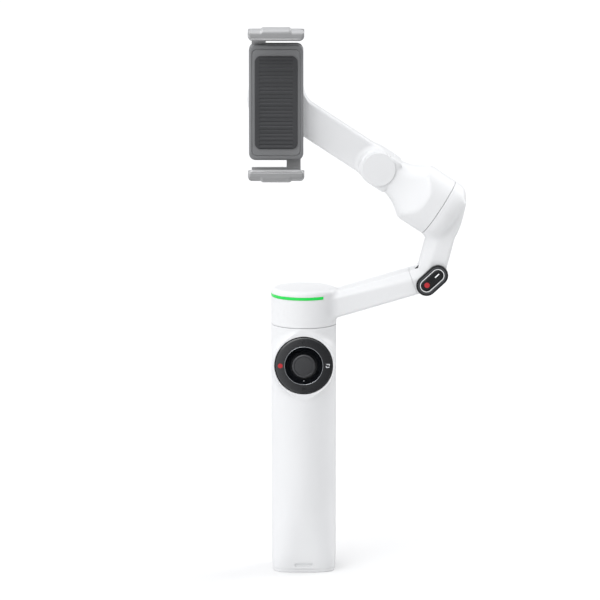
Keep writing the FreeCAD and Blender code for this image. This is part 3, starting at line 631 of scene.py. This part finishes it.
def backed(cap, points):
    """The cap with its inside hollowed to the curve of the handle's cavity."""
    x, y, _ = points.T
    return np.maximum(cut(cap, np.hypot(x, y) - cavity_radius + button_back), buttons_from - y)


def trigger(points):
    _, y, z = points.T
    cap = curved_cap(points, trigger_z, trigger_size, trigger_proud, 0.9)
    return backed(cut(cap, np.hypot(y - scoop_y, z - trigger_z + 0.5) - scoop_radius, 1.2), points)


def power_button(points):
    x, y, z = points.T
    cap = curved_cap(points, power_z, power_size, power_proud, 0.5)
    dish = np.sqrt(x ** 2 + (y - dish_y) ** 2 + (z - power_z) ** 2) - dish_radius
    return backed(cut(cap, dish, 0.6), points)


white_button = finish("white_button", (0.7, 0.705, 0.712), 0.36, mottle=0.015, grain=0.3,
                      depth=0.01, worn=1.08)
add_piece("trigger_cap", moulded("trigger_cap", trigger, (-5.2, 11, 97.8), (5.2, 18, 114.2), 0.35),
          white_button, "trigger", "white_button", "trigger")
add_piece("power_cap",
          moulded("power_cap", power_button, (-3.2, 11, 78.8), (3.2, 17.4, 86.2), 0.25),
          black_plastic, "power_button", "black_plastic", "power_button")

# --- Motors ---------------------------------------------------------------------------------
# Three like outrunner motors turn the head about its pan, tilt and roll axes: a slotted steel
# stator round a ball bearing, inside a dark plated can lined with nickel-plated magnets.
motor_steel = finish("motor_steel", (0.2, 0.205, 0.22), 0.36, mottle=0.08, grain=0.12, depth=0.008,
                     metal=1.0, worn=1.5)
nickel = finish("nickel", (0.6, 0.58, 0.54), 0.2, mottle=0.04, grain=0.2, depth=0.004, metal=1.0)
for motor in ("pan", "tilt", "roll"):
    recoat(motor_steel, f"{motor}_stator", f"{motor}_rotor_can")
    recoat(bright_steel, f"{motor}_bearing")
    recoat(nickel, f"{motor}_magnets")

# --- Pan head and lower arm -----------------------------------------------------------------
# A black disc on the pole carries the pan motor. The white housing that turns on it is moulded
# in one with the straight lower arm, and a green light guide is let into its upper rim.
recoat(black_plastic, "pan_base")
arm_start = (18.4, 139.7)
arm_angle = 16.4
arm_half_height = 6.35
arm_half_depth = 8.5
arm_bevel_depth = 2.7
fold_centre = (56.5, 150.9)
fold_angle = 20.0
fold_round = 0.15
pan_low, pan_high = 128.68, 147.5
pan_roof = 144.2
motor_hub = 6
arm_pitch = 0.55
light_z = 144.0
light_half_height = 0.74
light_from, light_to = -125.0, 37.0   # degrees round from the front


def tilted(points, origin, degrees):
    """Distances of points along and above a line that rises by degrees from origin."""
    x, z = points[:, 0] - origin[0], points[:, 2] - origin[1]
    c, s = math.cos(math.radians(degrees)), math.sin(math.radians(degrees))
    return x * c + z * s, z * c - x * s


def light_arc(points, outer, inner, half_height, spare, edge=0.0):
    """Arc of the status light round the housing; spare lengthens it, in millimetres."""
    x, y, z = points.T
    middle = math.radians((light_from + light_to) / 2)
    reach = math.radians((light_to - light_from) / 2) * handle_radius + spare
    turn = np.arctan2(x, -y) - middle
    turn = np.abs((turn + math.pi) % (2 * math.pi) - math.pi) * handle_radius
    radial = np.hypot(x, y) - (outer + inner) / 2
    return drawn(rect(radial, z - light_z, (outer - inner) / 2, half_height, edge), turn,
                 -reach, reach, edge)


def about_fold(points):
    """Distances along the fold hinge's axis and out from it."""
    along, above = tilted(points, fold_centre, fold_angle)
    return along, np.hypot(above, points[:, 1])


def bevelled(arm, from_edge, width, y):
    """Take a wide flat bevel off an arm's front edge."""
    bevel = from_edge / width + (y + arm_half_depth) / arm_bevel_depth - 1
    return shared(arm, -bevel * 2.2, 0.6)


def pan_arm(points):
    x, y, z = points.T
    round_ = np.hypot(x, y)
    housing = drawn(round_ - handle_radius, z, pan_low - 5, pan_high, 2.5)
    along, above = tilted(points, arm_start, arm_angle)
    bar = drawn(rect(above, y, arm_half_height, arm_half_depth, 1.5), along, -14, 60)
    width = np.clip(2.6 + 0.055 * along, 2.6, 5.5)
    shell = joined(housing, bevelled(bar, arm_half_height - above, width, y), 3.0)
    from_fold, from_pin = about_fold(points)
    shell = shared(shell, from_fold + half_seam, fold_round)
    shell = shared(shell, pan_low - z, 0.5)
    core = shared(round_ - cavity_radius, z - pan_roof)
    core = cut(core, drawn(round_ - motor_hub, z, 140, 150))
    shell = cut(shell, core)
    shell = cut(shell, light_arc(points, handle_radius + 1, handle_radius - 0.62,
                                 light_half_height + 0.06, 0.05))
    trough = drawn(rect(along - 13.5, y, 12, 5.8), above, -9, 2.5)
    shell = cut(shell, trough)
    return cut(shell, drawn(from_pin - 3.4, from_fold, -12, 9))


def status_light(points):
    return light_arc(points, handle_radius + 0.12, handle_radius - 0.6, light_half_height, 0, 0.3)


add_piece("pan_arm_shell",
          moulded("pan_arm_shell", pan_arm, (-17, -17, 128.5), (60, 17, 160), arm_pitch),
          white_plastic, "pan_arm", "white_shell", "pan_arm")
recoat(white_plastic, "pan_arm_cover")
recoat(bright_steel, "fold_pin", "fold_washer")
green_guide = finish("green_guide", (0.01, 0.4, 0.06), 0.25, mottle=0.06, grain=0.5, depth=0.006)
glow = green_guide.node_tree.nodes["Principled BSDF"]
glow.inputs["Emission Color"].default_value = (0.0, 0.8, 0.06, 1)
glow.inputs["Emission Strength"].default_value = 0.35
add_piece("status_light_guide",
          moulded("status_light_guide", status_light, (-17.2, -17.2, 143), (17.2, 17.2, 145), 0.28),
          green_guide, "pan_arm", "status_light", "status_light")

# --- Upper arm ------------------------------------------------------------------------------
# The white arm turns over on the fold hinge and bends up to the round housing of the tilt
# motor. A flat cover closes its back, and a white tab with a black tip at the inner corner
# locks the fold.
seam_centre = (69.55, 189.49)
tilt_angle = 180 - 33.3
inner_corner = (58.95, 158.2)
half_tilt_seam = 0.08
drum_radius = 16
motor_cavity = 12.8
fold_wall = 7.8
pin_bore, pin_head_bore = 3.45, 5
pin_head_height = 2
lock_angle = 45
lock_half_length, lock_half_depth = 1.3, 4.0
lock_gap = 0.15


def bend(start, through, end, count=7):
    """Points on the arc from start through a point to end, without the start."""
    (ax, ay), (bx, by), (cx, cy) = start, through, end
    d = 2 * (ax * (by - cy) + bx * (cy - ay) + cx * (ay - by))
    a2, b2, c2 = ax * ax + ay * ay, bx * bx + by * by, cx * cx + cy * cy
    u = (a2 * (by - cy) + b2 * (cy - ay) + c2 * (ay - by)) / d
    v = (a2 * (cx - bx) + b2 * (ax - cx) + c2 * (bx - ax)) / d
    first = math.atan2(ay - v, ax - u)
    sweep = (math.atan2(cy - v, cx - u) - first + math.pi) % (2 * math.pi) - math.pi
    radius = math.hypot(ax - u, ay - v)
    return [(u + radius * math.cos(first + sweep * k / count),
             v + radius * math.sin(first + sweep * k / count)) for k in range(1, count + 1)]


def outlined(u, v, outline_points):
    """Distance from a closed outline, less than nothing inside it."""
    closest, inner = np.full(u.shape, 1e9), np.zeros(u.shape, bool)
    for (au, av), (bu, bv) in zip(outline_points, outline_points[1:] + outline_points[:1]):
        eu, ev = bu - au, bv - av
        share = np.clip(((u - au) * eu + (v - av) * ev) / (eu * eu + ev * ev), 0, 1)
        closest = np.minimum(closest, np.hypot(u - au - share * eu, v - av - share * ev))
        rises = (av <= v) != (bv <= v)
        left = (u - au) * ev < (v - av) * eu
        inner ^= rises & (left == (ev > 0))
    return np.where(inner, -closest, closest)


arm_outline = [(48.0, 141.6), (66.5, 147.3)]
arm_outline += bend((66.5, 147.3), (70.6, 149.6), (71.9, 153.0))
arm_outline += [(73.8, 158.9), (77.7, 173.9)]
arm_outline += bend((77.7, 173.9), (81.3, 182.5), (83.3, 192.5))
arm_outline += [(76.0, 200.0), (63.0, 177.0), (63.1, 173.9), inner_corner, (48.0, 155.0)]
arm_pocket = [(58.0, 148.0), (66.0, 150.4), (70.0, 154.5), (71.6, 161.0), (74.6, 172.5),
              (66.5, 172.5), (63.5, 160.5), (61.0, 156.4)]


def upper_arm(points):
    x, y, z = points.T
    from_fold, from_pin = about_fold(points)
    along, above = tilted(points, seam_centre, tilt_angle)
    arm = drawn(outlined(x, z, arm_outline), y, -arm_half_depth, arm_half_depth, 1.7)
    width = np.clip(4.6 + 0.06 * (z - 155), 4.2, 6.4)
    side = (x - 58.95) * 0.967 - (z - 158.2) * 0.256
    level = (x - 48) * 0.28 - (z - 155) * 0.96
    arm = bevelled(arm, np.maximum(side, level), width, y)
    round_ = np.hypot(y, above)
    back_round = 7
    rounded_back = np.hypot(np.maximum(round_ - (drum_radius - back_round), 0),
                            np.minimum(along + 2.5, 0)) - back_round
    drum = np.maximum(drawn(round_ - drum_radius, along, -9.5, 6), rounded_back)
    arm = joined(arm, drum, 3.0)
    arm = shared(arm, along + half_tilt_seam, 0.5)
    arm = cut(arm, drawn(round_ - motor_cavity, along, -6, 8))
    arm = shared(arm, 0.06 - from_fold, fold_round)
    arm = cut(arm, drawn(from_pin - pin_bore, from_fold, -4, 9))
    arm = cut(arm, drawn(from_pin - pin_head_bore, from_fold, fold_wall,
                         fold_wall + pin_head_height))
    pocket = shared(outlined(x, z, arm_pocket), fold_wall - from_fold)
    arm = cut(arm, drawn(pocket, y, -5, 12))
    lock_along, lock_above = tilted(points, inner_corner, lock_angle)
    lock_slot = rect(lock_along, y, lock_half_length + lock_gap, lock_half_depth + lock_gap, 0.4)
    return cut(arm, drawn(lock_slot, lock_above, -2.3, 5))


add_piece("upper_arm_shell",
          moulded("upper_arm_shell", upper_arm, (52, -17, 143), (92, 17, 206), arm_pitch),
          white_plastic, "upper_arm", "white_shell", "upper_arm")
recoat(white_plastic, "upper_arm_cover")


def lock_tab(points):
    along, above = tilted(points, inner_corner, lock_angle)
    tab = drawn(rect(along, points[:, 1] - 0.5, lock_half_length, 3.5, 0.3), above, -1.4, 0.9, 0.3)
    grooves = np.hypot((points[:, 1] + 0.5) % 1 - 0.5, above - 1.0) - 0.28
    return cut(tab, grooves, 0.15)


def lock_tip(points):
    along, above = tilted(points, inner_corner, lock_angle)
    return drawn(rect(along, points[:, 1] + 3.5, lock_half_length, 0.49, 0.2), above,
                 -1.4, 0.9, 0.2)


add_piece("fold_lock_button",
          moulded("fold_lock_button", lock_tab, (56, -4.2, 155), (61, 4.2, 161), 0.18),
          white_button, "fold_lock", "white_button", "fold_lock_tab")
add_piece("fold_lock_tip",
          moulded("fold_lock_tip", lock_tip, (56, -4.2, 155), (61, -2.8, 161), 0.15),
          black_plastic, "fold_lock", "black_plastic")

# --- Button pod -----------------------------------------------------------------------------
# A black moulded pod on the elbow, set aslant. A grey trim ring and a fine white light line
# run round its single key, which carries a red dot and a short white bar.
pod_place = (Matrix.Translation((66.2, 0, 152.6)) @ Matrix.Rotation(-math.radians(42.6), 4, "Y")
             @ Matrix.Rotation(math.pi / 2, 4, "X"))
pod_spacing = 3.95
key_lift = 10.8
pod_black = finish("pod_black", (0.008, 0.009, 0.01), 0.28, mottle=0.1, grain=0.2, depth=0.005,
                   worn=3.0)
pod_grey = finish("pod_grey", (0.05, 0.052, 0.056), 0.3, mottle=0.08, grain=0.2, depth=0.004,
                  worn=1.5)
white_line = finish("white_line", (0.85, 0.86, 0.87), 0.35, mottle=0.02, grain=0.2, depth=0.003)
for name, profile, paint, slot, node in (
        ("pod_body", [(0, 8.5), (5.35, 8.5), (5.35, 10.7, 0.7), (4.5, 10.7, 0.2), (4.5, 9.0),
                      (0, 9.0)], pod_black, "black_plastic", "button_pod"),
        ("pod_trim_ring", [(3.38, 9.0), (4.5, 9.0), (4.5, 10.52), (4.1, 10.62), (3.38, 10.5)],
         pod_grey, "grey_plastic", "pod_trim"),
        ("pod_light_line", [(3.0, 9.0), (3.38, 9.0), (3.38, 10.6), (3.0, 10.6)], white_line,
         "pod_light", "pod_light")):
    whole = profile[0][0] == 0
    add_piece(name, turned(name, eased(profile, 0.12, closed=not whole), pod_place, pod_spacing,
                           ring=not whole), paint, "upper_arm", slot, node)
key_profile = eased([(0, 9.7), (2.65, 9.7), (2.65, 10.75, 0.35), (1.9, 10.78, 0.3), (0, 10.7)], 0.1,
                    closed=False)
add_piece("pod_key", turned("pod_key", key_profile, pod_place, pod_spacing, ring=False), pod_black,
          "elbow_key", "black_plastic", "elbow_key")
inlay("key_record_dot", [disc(-3.55, 0.1, 1.4)], pod_place, key_lift, red_print, "elbow_key",
      "black_plastic")
bar_u, bar_v, bar_half, bar_width, bar_corner = 3.6, 0.25, 1.3, 0.45, 0.15
mode_bar = [(bar_u + a * (bar_half - c), bar_v + b * (bar_width - bar_corner + c))
            for a, b, c in ((-1, -1, 0), (1, -1, 0), (1, -1, -bar_corner), (1, 1, -bar_corner),
                            (1, 1, 0), (-1, 1, 0), (-1, 1, -bar_corner), (-1, -1, -bar_corner))]
inlay("key_mode_bar", [mode_bar], pod_place, key_lift, white_line, "elbow_key",
      "black_plastic")

# --- Link arm -------------------------------------------------------------------------------
# From the tilt motor's drum a white horn narrows to a knuckle and steps back behind the phone.
# A flat bar runs on to the round housing of the roll motor, with covers over its wiring.
link_reach = 100.2                    # from the tilt seam to the roll axis
knuckle_end = 37                      # along, the middle of the knuckle's round end
knuckle_front, knuckle_back = -5.4, 15.2
knuckle_radius = 9.1
bar_front = 5.2


def link_arm(points):
    y = points[:, 1]
    along, above = tilted(points, seam_centre, tilt_angle)
    drum = drawn(np.hypot(y, above) - drum_radius, along, half_tilt_seam, 14.0, 0.5)
    rise = np.clip((along - 15.0) / 17.0, 0, 1)
    spread = (1 - rise ** 1.15) ** 2.6
    half_width = 8.9 + 6.9 * spread
    front, back = -5.2 - 10.4 * spread, 13.4 + 2.4 * spread
    middle, half_depth = (front + back) / 2, (back - front) / 2
    squareness = 2.0 + 1.6 * rise ** 1.3
    ratio = ((np.abs(above) / half_width) ** squareness
             + (np.abs(y - middle) / half_depth) ** squareness) ** (1 / squareness)
    horn = drawn((ratio - 1) * np.minimum(half_width, half_depth), along, 9, knuckle_end)
    knuckle = drawn(pill(along - 20, above, 18, knuckle_radius), y, knuckle_front, knuckle_back,
                    1.6)
    knuckle = shared(knuckle, 27.5 - along, 3.0)
    bar = drawn(rect(y - 10.2, above, 5.0, 8.5, 1.8), along, 34, link_reach)
    from_roll = np.hypot(along - link_reach, above)
    housing = drawn(from_roll - 15, y, bar_front, 20, 2.0)
    back_bar = np.maximum(joined(bar, housing, 4.0), bar_front - y)
    link = joined(joined(joined(drum, horn, 0.4), knuckle, 0.5), back_bar, 3.0)
    slope = (1 - np.clip((along - 8.0) / 24.0, 0, 1) ** 1.15) ** 2.6
    link = shared(link, knuckle_front - 10.9 * slope - y, 1.5)
    flush = np.maximum(y - knuckle_back, np.abs(above) - knuckle_radius)
    link = np.where((along > 33) & (along < 75), np.maximum(link, flush), link)
    link = np.maximum(link, half_tilt_seam - along)
    round_ = np.hypot(y, above)
    pocket = cut(drawn(round_ - 13.0, along, -5, 9), drawn(round_ - motor_hub, along, 3, 12))
    link = cut(link, pocket)
    link = cut(link, drawn(from_roll - motor_cavity, y, -5, 18), 0.3)
    link = cut(link, drawn(rect(along - 64.5, above, 18.5, 6), y, 8, far_back))
    link = cut(link, drawn(np.hypot(along - knuckle_end, above) - 8.66, y, -20, -4.2), 0.1)
    return cut(link, drawn(from_roll - 12.4, y, 19.2, far_back))


add_piece("link_arm_shell",
          moulded("link_arm_shell", link_arm, (-31, -17, 174), (82, 21, 262), 0.6),
          white_plastic, "link", "white_shell", "link_arm")
recoat(white_plastic, "link_cover", "link_cap", "roll_rear_cap")

# --- Clamp ----------------------------------------------------------------------------------
# A grey plate turns on the roll motor, with a ribbed rubber pad on its front. Two satin
# aluminium jaws slide in it on toothed racks; a pinion between the racks keeps them level.
clamp_centre = np.array((-14.2, 0.0, 244.5))
plate_half = (14, 30, 3.5)            # half width, half height, corner
pitch_line = 4.8                      # from the pinion's axis to a rack's middle line
box_margin = 0.3


def clamp_body(points):
    x, y, z = (points - clamp_centre).T
    body = shared(drawn(rect(x, z, *plate_half), y, -1.76, 9, 0.2), y - 4, 1.2)
    body = cut(body, np.maximum(np.abs(x) - 12.9, np.abs(y) - 1.8))
    body = joined(body, drawn(np.hypot(x, z) - 6, y, 3, 9), 0.8)
    return joined(body, drawn(np.hypot(x, z) - 1.5, y, -1.7, 3))


def clamp_face(points):
    x, y, z = (points - clamp_centre).T
    plate = shared(drawn(rect(x, z, *plate_half), y, -9, -1.84, 0.2), -5 - y, 1.2)
    line = np.abs(rect(x, z, 12.4, 27.6, 2.6)) - 0.25
    return cut(plate, np.maximum(line, y + 4.65), 0.2)


def clamp_pad(points):
    x, y, z = (points - clamp_centre).T
    pad = drawn(rect(x, z, 11, 24, 3), y, -6, -5, 0.35)
    ribs = np.hypot((z + 1) % 2 - 1, y + 6.15) - 0.45
    return cut(pad, np.maximum(ribs, np.abs(x) - 8.5), 0.2)


def upper_jaw(points):
    x, y, z = (points - clamp_centre).T
    front, phone_face, phone_side, roll = -16.6, -15.0, 36.1, 3.2
    jaw = drawn(rect(x, z - 36.3, 14.5, 3.1, 2.7), y, front, 2, 1.4)
    jaw = joined(jaw, drawn(rect(x, z - 37.2, 7.4, 2.9, 1.0), y, front + 0.1, 1.4, 0.8), 0.9)
    top = 39.4 + 0.7 * np.clip((7.9 - np.abs(x)) / 1.0, 0, 1)
    fall = 0.14 * np.maximum(y - front - roll, 0)
    jaw = np.maximum(jaw, z - top + fall)
    jaw = np.maximum(jaw, np.hypot(np.maximum(z - top + roll, 0),
                                   np.minimum(y - front - roll, 0)) - roll)
    jaw = cut(jaw, np.maximum(z - phone_side, phone_face - y), 0.3)
    lip_line = np.maximum(np.hypot(z - 34.6, y - front + 0.05) - 0.3, np.abs(x) - 13.2)
    jaw = cut(jaw, lip_line, 0.2)
    jaw = joined(jaw, drawn(rect(x, z - 35.5, 12.6, 1.1), y, -2.5, 2.0))
    tooth, slope = math.pi * 0.8, math.tan(math.radians(20))
    half_tooth = (tooth / 2 - 0.15) / 2
    root, tip, teeth_each_way = -0.56, 0.4, 6
    reach = np.clip((half_tooth - np.abs(z % tooth - tooth / 2)) / slope, root, tip)
    reach = np.where(np.abs(z) > teeth_each_way * tooth, root, reach)
    rack = np.maximum(x + pitch_line - reach, -12.6 - x)
    return joined(jaw, drawn(np.maximum(rack, np.abs(z - 8.3) - 28.3), y, -1.5, 1.5, 0.1))


def turned_over(points):
    """The same place seen by the lower jaw, which is the upper one turned upside down."""
    return (points - clamp_centre) * (-1, 1, -1) + clamp_centre


def lower_jaw(points):
    return upper_jaw(turned_over(points))


def jaw_grip(points):
    x, y, z = (points - clamp_centre).T
    grip = drawn(rect(x, y + 8.95, 12, 5.45, 1.0), z, 35.4, 36.1, 0.15)
    ribs = np.hypot((y + 0.75) % 1.5 - 0.75, z - 35.3) - 0.32
    return cut(grip, np.maximum(ribs, np.abs(x) - 11), 0.1)


def lower_grip(points):
    return jaw_grip(turned_over(points))


clamp_metal = finish("clamp_metal", (0.43, 0.432, 0.436), 0.4, mottle=0.05, grain=0.12, depth=0.01,
                     metal=0.55, worn=1.35)
clamp_grey = finish("clamp_grey", (0.2, 0.203, 0.208), 0.42, mottle=0.04, grain=0.25, depth=0.014,
                    worn=1.3)
pad_rubber = finish("pad_rubber", (0.04, 0.041, 0.044), 0.6, mottle=0.1, grain=0.3, depth=0.02,
                    worn=1.8)
for name, solid, pitch, paint, body, slot, node in (
        ("clamp_back", clamp_body, 0.5, clamp_grey, "clamp", "clamp_shell", "clamp_body"),
        ("clamp_front", clamp_face, 0.4, clamp_grey, "clamp", "clamp_shell", "clamp_face"),
        ("clamp_front_pad", clamp_pad, 0.3, pad_rubber, "clamp", "grip_rubber", "clamp_pad"),
        ("upper_jaw_metal", upper_jaw, 0.36, clamp_metal, "upper_jaw", "clamp_metal",
         "upper_jaw"),
        ("lower_jaw_metal", lower_jaw, 0.36, clamp_metal, "lower_jaw", "clamp_metal",
         "lower_jaw"),
        ("upper_grip", jaw_grip, 0.25, pad_rubber, "upper_jaw", "grip_rubber",
         "upper_jaw_grip"),
        ("lower_grip", lower_grip, 0.25, pad_rubber, "lower_jaw", "grip_rubber",
         "lower_jaw_grip")):
    low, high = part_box(node)
    mesh = moulded(name, solid, [value * 1000 - box_margin for value in low],
                   [value * 1000 + box_margin for value in high], pitch)
    add_piece(name, mesh, paint, body, slot, node)
recoat(black_plastic, "clamp_pinion")
